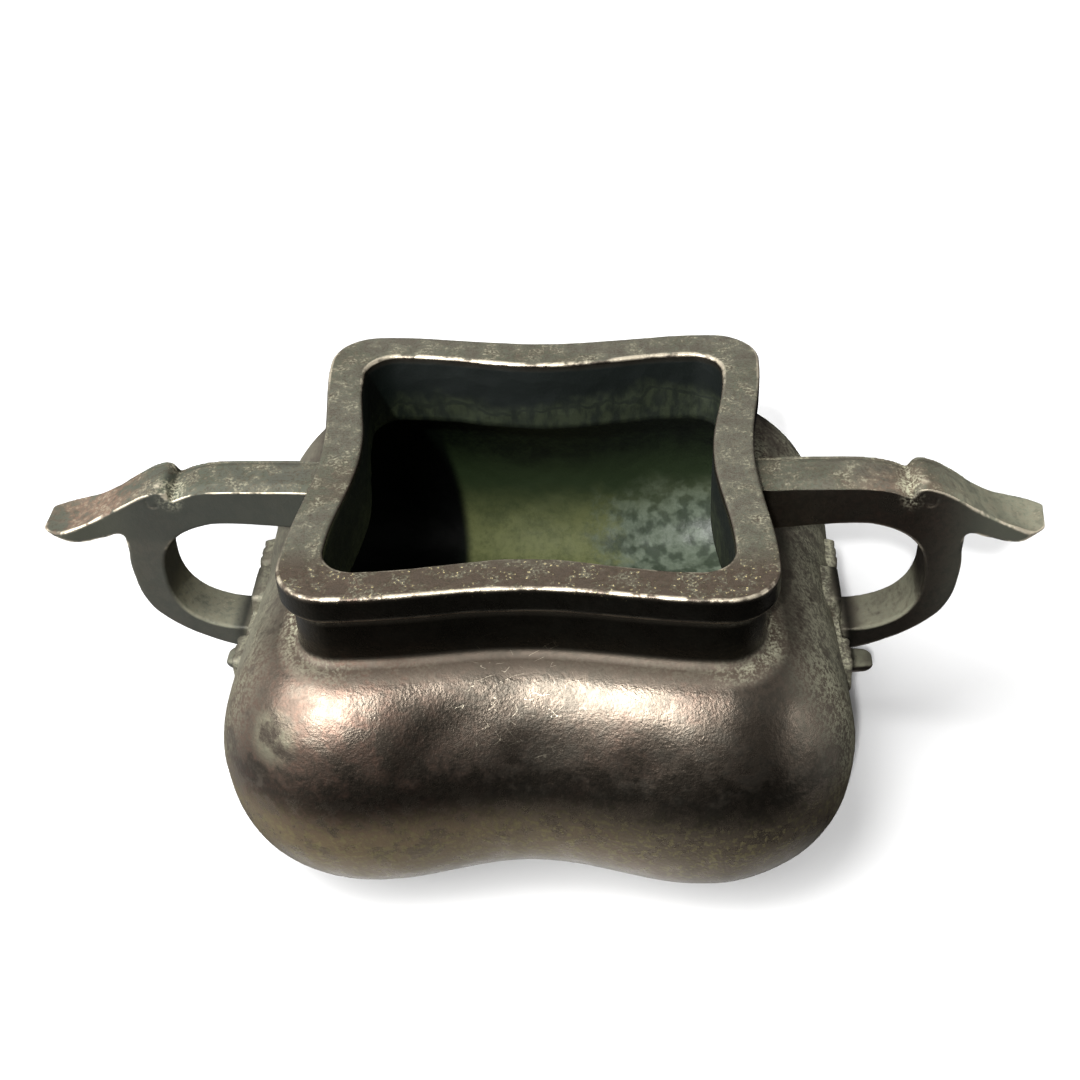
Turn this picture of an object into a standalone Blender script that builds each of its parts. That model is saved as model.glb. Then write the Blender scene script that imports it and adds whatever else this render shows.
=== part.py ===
"""Bronze incense burner: a squat, square, lobed vessel with an open mouth and two
looped beast handles, cast in one piece.

The frame has its origin under the middle of the foot, with +X towards the right
handle, -Y towards the front and +Z up. Every length is in metres.
"""

import math
from collections import namedtuple

import bmesh
import bpy
from mathutils import Matrix

# The whole vessel
HEIGHT = 0.0720
WALL = 0.0038

# Foot, a low ring set in under the body, hollow underneath
FOOT_HEIGHT = 0.0030
FOOT_INSET = 0.0060
FOOT_WIDTH = 0.0060
FOOT_RECESS = 0.0018
FOOT_HOLLOW = 0.0045

# Body, at its widest level and at its bottom
BODY_HALF_WIDTH = 0.0629
BODY_HALF_DEPTH = 0.0590
BODY_LEVEL = 0.0261
BODY_CORNER = 0.0274
BODY_SIDE_HOLLOW = 0.0010
BODY_FRONT_HOLLOW = 0.0042
BOTTOM_HALF_WIDTH = 0.0500
BOTTOM_HALF_DEPTH = 0.0446
BOTTOM_CORNER = 0.0246
BOTTOM_SIDE_HOLLOW = 0.0086
BOTTOM_FRONT_HOLLOW = 0.0091
SHOULDER_FULLNESS = 1.70
BELLY_FULLNESS = 2.40

# Neck, set in under the rim, with a small flare onto the shoulder
NECK_HEIGHT = 0.0118
NECK_INSET = 0.0022
NECK_FLARE = 0.0011
NECK_FLARE_HEIGHT = 0.0020

# Rim, a flat lobed square, and the mouth inside it
RIM_HALF_WIDTH = 0.0460
RIM_HALF_DEPTH = 0.0440
RIM_CORNER = 0.0100
RIM_SIDE_HOLLOW = 0.0029
RIM_FRONT_HOLLOW = 0.0032
RIM_HEIGHT = 0.0063
RIM_BAND = 0.00815
RIM_EDGE = 0.0007
MOUTH_CORNER = 0.0063
MOUTH_SIDE_HOLLOW = 0.0030
MOUTH_FRONT_HOLLOW = 0.0038
MOUTH_LIP = 0.0012

# Handles, flat bars that loop out from the neck and back to the body
HANDLE_REACH = 0.0560
HANDLE_THICKNESS = 0.0108
WAIST_THICKNESS = 0.0098
TIP_THICKNESS = 0.0120
TIP_ROUND = 0.0025
TIP_END_SHARE = 0.7
ARM_BEVEL = 0.0011
EDGE_BEVEL = 0.0006
TIP_BEVEL = 0.0002

# Beast mask on the body at the lower root of each handle
MASK_RELIEF = 0.0008
MASK_HALF_WIDTH = 0.0205
BROW_RADIUS = 0.0058
BROW_RISE = 0.0083
BROW_REACH = 0.0622
EAR_RADIUS = 0.0046
EAR_RISE = 0.0034
EAR_REACH = 0.0633
TONGUE_HALF_WIDTH = 0.0033
TONGUE_HALF_HEIGHT = 0.0020
TONGUE_DROP = 0.0104
TONGUE_REACH = 0.0710
BOSS_EDGE = 0.0010

# The handle's outline, as shares of its reach from the rim's side and underside
ARM_TOP = [(0.233, 0.022), (0.341, 0.020), (0.431, 0.005)]
GROOVE = (0.495, -0.022)
CREST = [(0.527, 0.016), (0.576, 0.009), (0.648, -0.029)]
TIP_TOP = [(0.761, -0.099), (0.864, -0.145), (0.950, -0.170)]
TIP_END = [(1.000, -0.170), (1.000, -0.182)]
TIP_UNDERSIDE = [(0.954, -0.192), (0.874, -0.218), (0.774, -0.205)]
ARMPIT = (0.707, -0.193)
LOWER_ARM = [(0.699, -0.228), (0.703, -0.355), (0.666, -0.529), (0.594, -0.609), (0.431, -0.707)]
LOWER_ROOT_DROP = 0.763
LOOP_CENTRE = (0.251, -0.385)
LOOP_HALF_WIDTH = 0.322
LOOP_HALF_HEIGHT = 0.253
LOOP_FULLNESS = 2.5
LOOP_START = 0.02
UPPER_ROOT_RISE = 0.013
UPPER_ROOT_DROP = 0.178

# The mask's outline, as shares of its half width from the handle's root
MASK_OUTLINE = [(0.50, 0.36), (0.90, 0.30), (1.00, 0.10), (0.86, -0.12), (0.48, -0.34), (0.24, -0.66)]
MASK_TOP = 0.40
MASK_CHIN = 0.78

# Facets
SIDE_STEPS = 6
CORNER_STEPS = 6
BODY_STEPS = 7
LOOP_STEPS = 8
BOSS_SIDES = 20
SHARP_ANGLE = 35

# Finish
BRONZE = (0.055, 0.036, 0.027, 1.0)
BRONZE_ROUGHNESS = 0.42
BRONZE_METALLIC = 0.85

Section = namedtuple("Section", "z half_width half_depth side_hollow front_hollow corner")

# Levels that follow from the sizes above
RIM_UNDERSIDE = HEIGHT - RIM_HEIGHT
SHOULDER_LEVEL = RIM_UNDERSIDE - NECK_HEIGHT
LOOP_BOTTOM = LOOP_CENTRE[1] - LOOP_HALF_HEIGHT
ROOT_LEVEL = RIM_UNDERSIDE + HANDLE_REACH * (LOOP_BOTTOM - LOWER_ROOT_DROP) / 2


def clear_scene():
    for obj in list(bpy.data.objects):
        bpy.data.objects.remove(obj, do_unlink=True)


def new_collection(name):
    collection = bpy.data.collections.new(name)
    bpy.context.scene.collection.children.link(collection)
    return collection


def mix(a, b, share):
    return a + (b - a) * share


def smooth(share):
    share = min(max(share, 0.0), 1.0)
    return share * share * (3.0 - 2.0 * share)


# Sections of the vessel, each a lobed square at its own height

def inset(section, distance, z):
    """The same lobed square with every side moved in by a distance, at another height."""
    return section._replace(
        z=z,
        half_width=section.half_width - distance,
        half_depth=section.half_depth - distance,
        corner=section.corner - distance,
    )


def rim_section():
    return Section(
        HEIGHT,
        RIM_HALF_WIDTH,
        RIM_HALF_DEPTH,
        RIM_SIDE_HOLLOW,
        RIM_FRONT_HOLLOW,
        RIM_CORNER,
    )


def mouth_section():
    return Section(
        HEIGHT,
        RIM_HALF_WIDTH - RIM_BAND,
        RIM_HALF_DEPTH - RIM_BAND,
        MOUTH_SIDE_HOLLOW,
        MOUTH_FRONT_HOLLOW,
        MOUTH_CORNER,
    )


def shoulder_section():
    return inset(rim_section(), NECK_INSET - NECK_FLARE, SHOULDER_LEVEL)


def widest_section():
    return Section(
        BODY_LEVEL,
        BODY_HALF_WIDTH,
        BODY_HALF_DEPTH,
        BODY_SIDE_HOLLOW,
        BODY_FRONT_HOLLOW,
        BODY_CORNER,
    )


def bottom_section():
    return Section(
        FOOT_HEIGHT,
        BOTTOM_HALF_WIDTH,
        BOTTOM_HALF_DEPTH,
        BOTTOM_SIDE_HOLLOW,
        BOTTOM_FRONT_HOLLOW,
        BOTTOM_CORNER,
    )


def bulge(end, widest, fullness, steps):
    """Sections from an end out to the widest one, along a rounded profile."""
    sections = []
    for step in range(steps + 1):
        angle = math.pi / 2 * step / steps
        out = math.sin(angle) ** (2 / fullness)
        rise = max(0.0, math.cos(angle)) ** (2 / fullness)
        spread = [mix(a, b, out) for a, b in zip(end[1:], widest[1:])]
        sections.append(Section(mix(widest.z, end.z, rise), *spread))
    return sections


def rounded_body(bottom, widest, top):
    """Sections from the bottom, over the widest level, to the top."""
    lower = bulge(bottom, widest, BELLY_FULLNESS, BODY_STEPS)
    upper = bulge(top, widest, SHOULDER_FULLNESS, BODY_STEPS)
    return lower + upper[-2::-1]


def foot_sections():
    plan = bottom_section()._replace(side_hollow=FOOT_HOLLOW, front_hollow=FOOT_HOLLOW)
    outer = inset(plan, FOOT_INSET, 0.0)
    inner = inset(plan, FOOT_INSET + FOOT_WIDTH, 0.0)
    return [inner._replace(z=FOOT_RECESS), inner, outer, outer._replace(z=FOOT_HEIGHT)]


def neck_sections():
    neck = inset(rim_section(), NECK_INSET, SHOULDER_LEVEL + NECK_FLARE_HEIGHT)
    return [neck, neck._replace(z=RIM_UNDERSIDE)]


def rim_sections():
    rim = rim_section()
    mouth = mouth_section()
    return [
        inset(rim, RIM_EDGE, RIM_UNDERSIDE),
        rim._replace(z=RIM_UNDERSIDE + RIM_EDGE),
        rim._replace(z=HEIGHT - RIM_EDGE),
        inset(rim, RIM_EDGE, HEIGHT),
        inset(mouth, -RIM_EDGE, HEIGHT),
        mouth._replace(z=HEIGHT - RIM_EDGE),
        mouth._replace(z=RIM_UNDERSIDE),
    ]


def cavity_sections():
    mouth = mouth_section()._replace(z=SHOULDER_LEVEL + MOUTH_LIP)
    widest = inset(widest_section(), WALL, BODY_LEVEL)
    floor = inset(bottom_section(), WALL, FOOT_HEIGHT + WALL)
    return rounded_body(floor, widest, mouth)[::-1]


def body_sections(grown):
    """The body's outside, with every side moved out by a distance."""
    return rounded_body(
        inset(bottom_section(), -grown, FOOT_HEIGHT),
        inset(widest_section(), -grown, BODY_LEVEL),
        inset(shoulder_section(), -grown, SHOULDER_LEVEL),
    )


# Outlines and lofts

def quarter_outline(section):
    """A quarter of the lobed square: half a hollowed side, a round corner, half a front."""
    side = section.half_depth - section.corner
    front = section.half_width - section.corner
    points = []
    for step in range(SIDE_STEPS):
        y = side * step / SIDE_STEPS
        dip = section.side_hollow * (1 + math.cos(math.pi * y / side)) / 2
        points.append((section.half_width - dip, y))
    for step in range(CORNER_STEPS):
        angle = math.pi / 2 * step / CORNER_STEPS
        x = front + section.corner * math.cos(angle)
        y = side + section.corner * math.sin(angle)
        points.append((x, y))
    for step in range(SIDE_STEPS + 1):
        x = front * (1 - step / SIDE_STEPS)
        dip = section.front_hollow * (1 + math.cos(math.pi * x / front)) / 2
        points.append((x, section.half_depth - dip))
    return points


def lobed_outline(section):
    quarter = quarter_outline(section)
    back = quarter[::-1]
    outline = quarter[:-1]
    outline += [(-x, y) for x, y in back[:-1]]
    outline += [(-x, -y) for x, y in quarter[:-1]]
    outline += [(x, -y) for x, y in back[:-1]]
    return outline


def loft(name, sections):
    """A closed solid through lobed squares, capped at the first and the last one."""
    shape = bmesh.new()
    rings = []
    for section in sections:
        rings.append([shape.verts.new((x, y, section.z)) for x, y in lobed_outline(section)])
    count = len(rings[0])
    for lower, upper in zip(rings, rings[1:]):
        for i in range(count):
            after = (i + 1) % count
            shape.faces.new((lower[i], lower[after], upper[after], upper[i]))
    shape.faces.new(rings[0])
    shape.faces.new(rings[-1])
    bmesh.ops.recalc_face_normals(shape, faces=shape.faces)
    return object_from(name, shape)


def object_from(name, shape):
    mesh = bpy.data.meshes.new(name)
    shape.to_mesh(mesh)
    shape.free()
    return bpy.data.objects.new(name, mesh)


def evaluated_mesh(obj):
    """The mesh that an object gives once its curve and its modifiers are worked out."""
    bpy.context.scene.collection.objects.link(obj)
    graph = bpy.context.evaluated_depsgraph_get()
    return bpy.data.meshes.new_from_object(obj.evaluated_get(graph))


def outline_solid(name, knots, thickness, turn):
    """A flat solid from the knots of its outline, turned into place, as a mesh object.

    A knot is its point and whether it is a sharp corner.
    """
    curve = bpy.data.curves.new(name, "CURVE")
    curve.dimensions = "2D"
    curve.fill_mode = "BOTH"
    curve.extrude = thickness / 2
    curve.resolution_u = 2
    spline = curve.splines.new("BEZIER")
    spline.bezier_points.add(len(knots) - 1)
    spline.use_cyclic_u = True
    for bezier, (point, sharp) in zip(spline.bezier_points, knots):
        bezier.co = (point[0], point[1], 0.0)
        bezier.handle_left_type = "VECTOR" if sharp else "AUTO"
        bezier.handle_right_type = "VECTOR" if sharp else "AUTO"
    guide = bpy.data.objects.new(name, curve)
    mesh = evaluated_mesh(guide)
    bpy.data.objects.remove(guide, do_unlink=True)
    mesh.transform(turn)
    shape = bmesh.new()
    shape.from_mesh(mesh)
    bmesh.ops.remove_doubles(shape, verts=shape.verts, dist=1e-6)
    bmesh.ops.dissolve_limit(shape, angle_limit=0.01, verts=shape.verts, edges=shape.edges)
    bmesh.ops.recalc_face_normals(shape, faces=shape.faces)
    return object_from(name, shape)


# Handles

def loop_edge():
    """The inner edge of the loop, from the body round to the underside of the upper arm."""
    points = []
    for step in range(LOOP_STEPS + 1):
        angle = math.pi * (step / LOOP_STEPS - 0.5)
        side = math.copysign(abs(math.sin(angle)) ** (2 / LOOP_FULLNESS), angle)
        out = abs(math.cos(angle)) ** (2 / LOOP_FULLNESS)
        x = LOOP_CENTRE[0] + LOOP_HALF_WIDTH * out
        z = LOOP_CENTRE[1] + LOOP_HALF_HEIGHT * side
        points.append((x, z))
    return points


def handle_outline():
    """The right handle's outline round from the neck, each knot with whether it is sharp."""
    neck_face = RIM_HALF_WIDTH - NECK_INSET - RIM_SIDE_HOLLOW
    neck_bite = (RIM_BAND - NECK_INSET) / 2
    body_face = BODY_HALF_WIDTH - BODY_SIDE_HOLLOW
    upper_root = (neck_face - neck_bite - RIM_HALF_WIDTH) / HANDLE_REACH
    lower_root = (body_face - WALL / 2 - RIM_HALF_WIDTH) / HANDLE_REACH
    loop = [point for point in loop_edge() if point[0] > lower_root + LOOP_START]
    knots = [((upper_root, UPPER_ROOT_RISE), True)]
    knots += [(point, False) for point in ARM_TOP]
    knots += [(GROOVE, True)]
    knots += [(point, False) for point in CREST + TIP_TOP]
    knots += [(point, True) for point in TIP_END]
    knots += [(point, False) for point in TIP_UNDERSIDE]
    knots += [(ARMPIT, False)]
    knots += [(point, False) for point in LOWER_ARM]
    knots += [((lower_root, -LOWER_ROOT_DROP), True)]
    knots += [((lower_root, LOOP_BOTTOM), True)]
    knots += [(point, False) for point in loop]
    knots += [((upper_root, -UPPER_ROOT_DROP), True)]
    return [(placed(point), sharp) for point, sharp in knots]


def placed(point):
    """A point of the handle's outline at its real place in the XZ plane."""
    return (RIM_HALF_WIDTH + HANDLE_REACH * point[0], RIM_UNDERSIDE + HANDLE_REACH * point[1])


def half_thickness(x):
    """Half the handle's thickness: a waist behind the crest, then a broader, rounded tip."""
    crest = placed(CREST[0])[0]
    waist = placed(TIP_TOP[0])[0]
    broadest = placed(TIP_TOP[-1])[0]
    end = placed(TIP_END[0])[0]
    thickness = mix(HANDLE_THICKNESS, WAIST_THICKNESS, smooth((x - crest) / (waist - crest)))
    thickness = mix(thickness, TIP_THICKNESS, smooth((x - waist) / (broadest - waist)))
    past = min(max(0.0, (x - end + TIP_ROUND) / TIP_ROUND), 1.0)
    return thickness / 2 * max(TIP_END_SHARE, math.sqrt(1.0 - past * past))


def edge_softness(x, z):
    """The width of an edge's bevel: wide along the arm's top, narrow elsewhere."""
    crest = placed(CREST[0])[0]
    crest_end = placed(CREST[-1])[0]
    broadest = placed(TIP_TOP[-1])[0]
    arm_middle = placed((0.0, -UPPER_ROOT_DROP / 2))[1]
    if x > crest_end:
        return mix(EDGE_BEVEL, TIP_BEVEL, smooth((x - crest_end) / (broadest - crest_end)))
    if z < arm_middle:
        return EDGE_BEVEL
    return mix(ARM_BEVEL, EDGE_BEVEL, smooth((x - crest) / (crest_end - crest)))


def handle(name):
    upright = Matrix.Rotation(math.pi / 2, 4, "X")
    obj = outline_solid(name, handle_outline(), HANDLE_THICKNESS, upright)
    shape = bmesh.new()
    shape.from_mesh(obj.data)
    weights = shape.edges.layers.float.new("bevel_weight_edge")
    for edge in shape.edges:
        across = [abs(face.normal.y) for face in edge.link_faces]
        middle = (edge.verts[0].co + edge.verts[1].co) / 2
        if max(across) > 0.9 and min(across) < 0.1:
            edge[weights] = edge_softness(middle.x, middle.z) / ARM_BEVEL
    shape.to_mesh(obj.data)
    shape.free()
    bevel = obj.modifiers.new("soft_edges", "BEVEL")
    bevel.limit_method = "WEIGHT"
    bevel.width = ARM_BEVEL
    bevel.segments = 2
    bevel.use_clamp_overlap = False
    obj.modifiers.new("flat_sides", "TRIANGULATE")
    bar = evaluated_mesh(obj)
    bpy.data.objects.remove(obj, do_unlink=True)
    for vert in bar.vertices:
        vert.co.y *= 2 * half_thickness(vert.co.x) / HANDLE_THICKNESS
    return bpy.data.objects.new(name, bar)


# Beast mask

def mask_outline():
    """The mask's outline in the YZ plane, the same on both sides of the handle."""
    half = [(y * MASK_HALF_WIDTH, z * MASK_HALF_WIDTH) for y, z in MASK_OUTLINE]
    points = [(0.0, MASK_TOP * MASK_HALF_WIDTH)] + half
    points += [(0.0, -MASK_CHIN * MASK_HALF_WIDTH)]
    points += [(-y, z) for y, z in half[::-1]]
    return [(point, False) for point in points]


def mask_plate():
    """The mask's outline pushed out along X, from inside the wall to past the body."""
    sideways = Matrix(((0, 0, 1, 0), (1, 0, 0, 0), (0, 1, 0, 0), (0, 0, 0, 1)))
    place = Matrix.Translation((BODY_HALF_WIDTH, 0.0, ROOT_LEVEL)) @ sideways
    return outline_solid("mask_plate", mask_outline(), BODY_HALF_WIDTH / 2, place)


def boss(name, half_width, half_height, y, rise, reach):
    """An oval boss along X, from inside the body out to a reach from the middle."""
    start = RIM_HALF_WIDTH
    middle = (start + reach) / 2
    shape = bmesh.new()
    turn = Matrix.Rotation(math.pi / 2, 4, "Y")
    oval = Matrix.Diagonal((1.0, half_width, half_height, 1.0))
    place = Matrix.Translation((middle, y, ROOT_LEVEL + rise))
    bmesh.ops.create_cone(
        shape,
        cap_ends=True,
        segments=BOSS_SIDES,
        radius1=1.0,
        radius2=1.0,
        depth=reach - start,
        matrix=place @ oval @ turn,
    )
    far = [edge for edge in shape.edges if all(vert.co.x > middle for vert in edge.verts)]
    bmesh.ops.bevel(shape, geom=far, offset=BOSS_EDGE, segments=2, profile=0.5, affect="EDGES")
    return object_from(name, shape)


def boolean(obj, other, operation):
    cut = obj.modifiers.new(operation.lower() + "_" + other.name, "BOOLEAN")
    cut.operation = operation
    cut.solver = "EXACT"
    cut.object = other


def both_sides(obj, axis):
    mirror = obj.modifiers.new("both_sides", "MIRROR")
    mirror.use_axis = [axis == name for name in "XYZ"]
    mirror.merge_threshold = 0.0001


def mask(tools):
    """The relief around the handle's root: plate, brow, two ears and tongue."""
    plate = mask_plate()
    skin = loft("mask_skin", [part._replace(side_hollow=0.0) for part in body_sections(MASK_RELIEF)])
    core = loft("mask_core", body_sections(-WALL / 2))
    brow = boss("mask_brow", BROW_RADIUS, BROW_RADIUS, 0.0, BROW_RISE, BROW_REACH)
    ear_place = MASK_HALF_WIDTH - EAR_RADIUS
    ears = boss("mask_ears", EAR_RADIUS, EAR_RADIUS, ear_place, EAR_RISE, EAR_REACH)
    tongue = boss(
        "mask_tongue", TONGUE_HALF_WIDTH, TONGUE_HALF_HEIGHT, 0.0, -TONGUE_DROP, TONGUE_REACH
    )
    both_sides(ears, "Y")
    boolean(plate, skin, "INTERSECT")
    boolean(plate, brow, "UNION")
    boolean(plate, ears, "UNION")
    boolean(plate, tongue, "UNION")
    boolean(plate, core, "DIFFERENCE")
    both_sides(plate, "X")
    for obj in (plate, skin, core, brow, ears, tongue):
        add_tool(tools, obj)
    return plate


def add_tool(tools, obj):
    tools.objects.link(obj)
    obj.hide_render = True
    obj.display_type = "WIRE"


def bronze():
    material = bpy.data.materials.new("bronze")
    material.use_nodes = True
    shader = material.node_tree.nodes["Principled BSDF"]
    shader.inputs["Base Color"].default_value = BRONZE
    shader.inputs["Roughness"].default_value = BRONZE_ROUGHNESS
    shader.inputs["Metallic"].default_value = BRONZE_METALLIC
    return material


def censer(parts, tools):
    """The whole casting: the vessel, joined by the masks and the handles."""
    sections = foot_sections() + body_sections(0.0) + neck_sections()
    sections += rim_sections() + cavity_sections()
    vessel = loft("censer", sections)
    parts.objects.link(vessel)
    grips = handle("handles")
    both_sides(grips, "X")
    add_tool(tools, grips)
    boolean(vessel, mask(tools), "UNION")
    boolean(vessel, grips, "UNION")
    vessel.data.shade_smooth()
    vessel.data.set_sharp_from_angle(angle=math.radians(SHARP_ANGLE))
    vessel.data.materials.append(bronze())


def main():
    clear_scene()
    parts = new_collection("incense_burner")
    tools = new_collection("joined_forms")
    censer(parts, tools)


main()
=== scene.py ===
"""Looks of the bronze incense burner: a dark brown casting with reddish patches, grey-green
dust on what faces up, pale deposits in its corners and bright worn edges.

Every length is in metres, in the frame of the CAD model: +X to the right handle, -Y to
the front, +Z up, with the origin under the middle of the foot.
"""

import math
from collections import namedtuple

import bmesh
import bpy
import numpy as np
from mathutils import Matrix, Vector, noise


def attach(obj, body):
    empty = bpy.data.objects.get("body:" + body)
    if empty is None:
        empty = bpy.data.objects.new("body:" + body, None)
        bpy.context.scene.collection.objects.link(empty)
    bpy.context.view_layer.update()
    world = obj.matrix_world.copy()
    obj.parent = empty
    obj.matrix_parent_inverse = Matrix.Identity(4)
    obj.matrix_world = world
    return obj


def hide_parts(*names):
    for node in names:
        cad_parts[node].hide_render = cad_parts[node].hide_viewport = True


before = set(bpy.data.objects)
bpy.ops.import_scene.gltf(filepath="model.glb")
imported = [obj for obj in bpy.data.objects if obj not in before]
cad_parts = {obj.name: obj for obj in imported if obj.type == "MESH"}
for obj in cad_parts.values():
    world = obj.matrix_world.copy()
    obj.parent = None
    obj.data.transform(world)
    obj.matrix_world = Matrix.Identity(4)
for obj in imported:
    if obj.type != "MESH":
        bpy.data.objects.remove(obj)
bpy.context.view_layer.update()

# The whole vessel
HEIGHT = 0.0720
WALL = 0.0038

# Foot
FOOT_HEIGHT = 0.0030
FOOT_INSET = 0.0060
FOOT_WIDTH = 0.0060
FOOT_RECESS = 0.0018
FOOT_HOLLOW = 0.0045
FOOT_EDGE = 0.0005

# Body, at its widest level and at its bottom
BODY_HALF_WIDTH = 0.0629
BODY_HALF_DEPTH = 0.0590
BODY_LEVEL = 0.0261
BODY_CORNER = 0.0274
BODY_SIDE_HOLLOW = 0.0010
BODY_FRONT_HOLLOW = 0.0042
BOTTOM_HALF_WIDTH = 0.0500
BOTTOM_HALF_DEPTH = 0.0446
BOTTOM_CORNER = 0.0246
BOTTOM_SIDE_HOLLOW = 0.0086
BOTTOM_FRONT_HOLLOW = 0.0091
SHOULDER_FULLNESS = 1.70
BELLY_FULLNESS = 2.40

# Neck
NECK_HEIGHT = 0.0118
NECK_INSET = 0.0022
NECK_FLARE = 0.0011
NECK_FLARE_HEIGHT = 0.0020

# Rim and mouth
RIM_HALF_WIDTH = 0.0460
RIM_HALF_DEPTH = 0.0440
RIM_CORNER = 0.0100
RIM_SIDE_HOLLOW = 0.0029
RIM_FRONT_HOLLOW = 0.0032
RIM_HEIGHT = 0.0063
RIM_BAND = 0.00815
RIM_TOP_EDGE = 0.0008
RIM_LOWER_EDGE = 0.0014
MOUTH_EDGE = 0.0009
MOUTH_CORNER = 0.0063
MOUTH_SIDE_HOLLOW = 0.0030
MOUTH_FRONT_HOLLOW = 0.0038
MOUTH_LIP = 0.0012

# Handles
HANDLE_REACH = 0.0560
HANDLE_THICKNESS = 0.0108
WAIST_THICKNESS = 0.0098
TIP_THICKNESS = 0.0120
TIP_ROUND = 0.0060
TIP_END_SHARE = 0.60
ARM_BEVEL = 0.0007
EDGE_BEVEL = 0.0006
TIP_BEVEL = 0.0003

# The handle's outline, as shares of its reach from the rim's side and underside
ARM_TOP = [(0.233, 0.022), (0.341, 0.020), (0.431, 0.005)]
GROOVE = (0.495, -0.022)
CREST = [(0.527, 0.016), (0.576, 0.009), (0.648, -0.029)]
TIP_TOP = [(0.761, -0.099), (0.864, -0.145), (0.950, -0.170)]
TIP_END = [(1.000, -0.170), (1.000, -0.182)]
TIP_UNDERSIDE = [(0.954, -0.192), (0.874, -0.218), (0.774, -0.205)]
ARMPIT = (0.707, -0.193)
LOWER_ARM = [(0.699, -0.228), (0.703, -0.355), (0.666, -0.529), (0.594, -0.609), (0.431, -0.707)]
LOWER_ROOT_DROP = 0.763
LOOP_CENTRE = (0.251, -0.385)
LOOP_HALF_WIDTH = 0.322
LOOP_HALF_HEIGHT = 0.253
LOOP_FULLNESS = 2.5
LOOP_START = 0.02
RIGHT_ARM_RISE = 0.010
RIGHT_TIP_SKEW = 0.0015
DISH_DEPTH = 0.0008
CROWN = 0.0007
CROWN_WIDTH = 0.0026
LOOP_STEPS = 14
UPPER_ROOT_RISE = 0.013
UPPER_ROOT_DROP = 0.178

# Beast mask at the lower root of each handle, with its outline as shares of its half width
MASK_RELIEF = 0.0008
MASK_HALF_WIDTH = 0.0205
MASK_OUTLINE = [
    (0.50, 0.36), (0.90, 0.30), (1.00, 0.10), (0.86, -0.12), (0.48, -0.34), (0.24, -0.66)
]
MASK_TOP = 0.40
MASK_CHIN = 0.78
MASK_RIM = 0.0011
MASK_RIM_RISE = 0.0003
STEP = 0.0005
SINK = 0.0009
BLOCK_CORNER = 0.0016
EAR_GROOVE = 0.0005
BROW_HALF_WIDTH = 0.0058
BROW_HALF_HEIGHT = 0.0052
BROW_RISE = 0.0074
BROW_REACH = 0.0622
LEFT_BROW_REACH = 0.0614
EAR_RADIUS = 0.0046
EAR_RISE = 0.0034
EAR_REACH = 0.0633
TONGUE_HALF_WIDTH = 0.0033
TONGUE_HALF_HEIGHT = 0.0020
TONGUE_DROP = 0.0104
TONGUE_REACH = 0.0710
TONGUE_ROUND = 0.0030

# Hooked line under each crest, with its centre as shares of the handle's reach
CURL_CENTRE = (0.556, -0.036)
CURL_RADIUS = 0.0015
CURL_GROWTH = 0.0003
CURL_DEPTH = 0.00016

# Hand finishing: the sizes of its lumps and how deep they go
BROAD_LUMPS = 0.016
FINE_LUMPS = 0.0055
HAMMER_LUMPS = 0.0030
HANDLE_LUMPS = 0.0040
BROAD_DEPTH = 0.00024
FINE_DEPTH = 0.00006
INSIDE_FINE_DEPTH = 0.00018
HAMMER_DEPTH = 0.00012
HANDLE_DEPTH = 0.00008

# Shallow dents in the front shoulder: centre, radius and depth
DENTS = [
    ((-0.016, -0.050, 0.046), 0.013, 0.0007),
    ((0.024, -0.054, 0.041), 0.010, 0.0004),
    ((-0.050, -0.048, 0.041), 0.008, 0.0003),
]

# Mesh sizes
SIDE_STEPS = 24
CORNER_STEPS = 26
BODY_STEPS = 40
EDGE_STEPS = 6
FLARE_STEPS = 5
NECK_STEPS = 8
RIM_FACE_STEPS = 5
RIM_TOP_STEPS = 9
MOUTH_STEPS = 12
KNOT_STEPS = 8
MASK_COLUMNS = 120
MASK_ROWS = 90
VOXEL = 0.0003

# Floor and the photograph's camera
FLOOR_HALF_WIDTH = 4.0
CAMERA_FORWARD = (-0.0610, 0.7737, -0.6306)
CAMERA_LEVEL = (0.9969, 0.0786, 0.0)
CAMERA_ROLL = 0.0502
CAMERA_AIM_HEIGHT = 0.0498
CAMERA_DISTANCE = 0.3258
CAMERA_LENS = 52.6
CAMERA_SENSOR = 36.0

Section = namedtuple("Section", "z half_width half_depth side_hollow front_hollow corner")
Ring = namedtuple("Ring", "section edge crevice inside", defaults=(0, 0, 0))

RIM_UNDERSIDE = HEIGHT - RIM_HEIGHT
SHOULDER_LEVEL = RIM_UNDERSIDE - NECK_HEIGHT
LOOP_BOTTOM = LOOP_CENTRE[1] - LOOP_HALF_HEIGHT
ROOT_LEVEL = RIM_UNDERSIDE + HANDLE_REACH * (LOOP_BOTTOM - LOWER_ROOT_DROP) / 2


def mix(a, b, share):
    return a + (b - a) * share


def smooth(low, high, value):
    """0 below low, 1 above high and a smooth rise between them, for numbers and arrays."""
    share = np.clip((value - low) / (high - low), 0.0, 1.0)
    return share * share * (3.0 - 2.0 * share)


# Sections of the vessel, each a lobed square at its own height

def inset(section, distance, z):
    return section._replace(
        z=z,
        half_width=section.half_width - distance,
        half_depth=section.half_depth - distance,
        corner=max(section.corner - distance, 0.001),
    )


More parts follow.
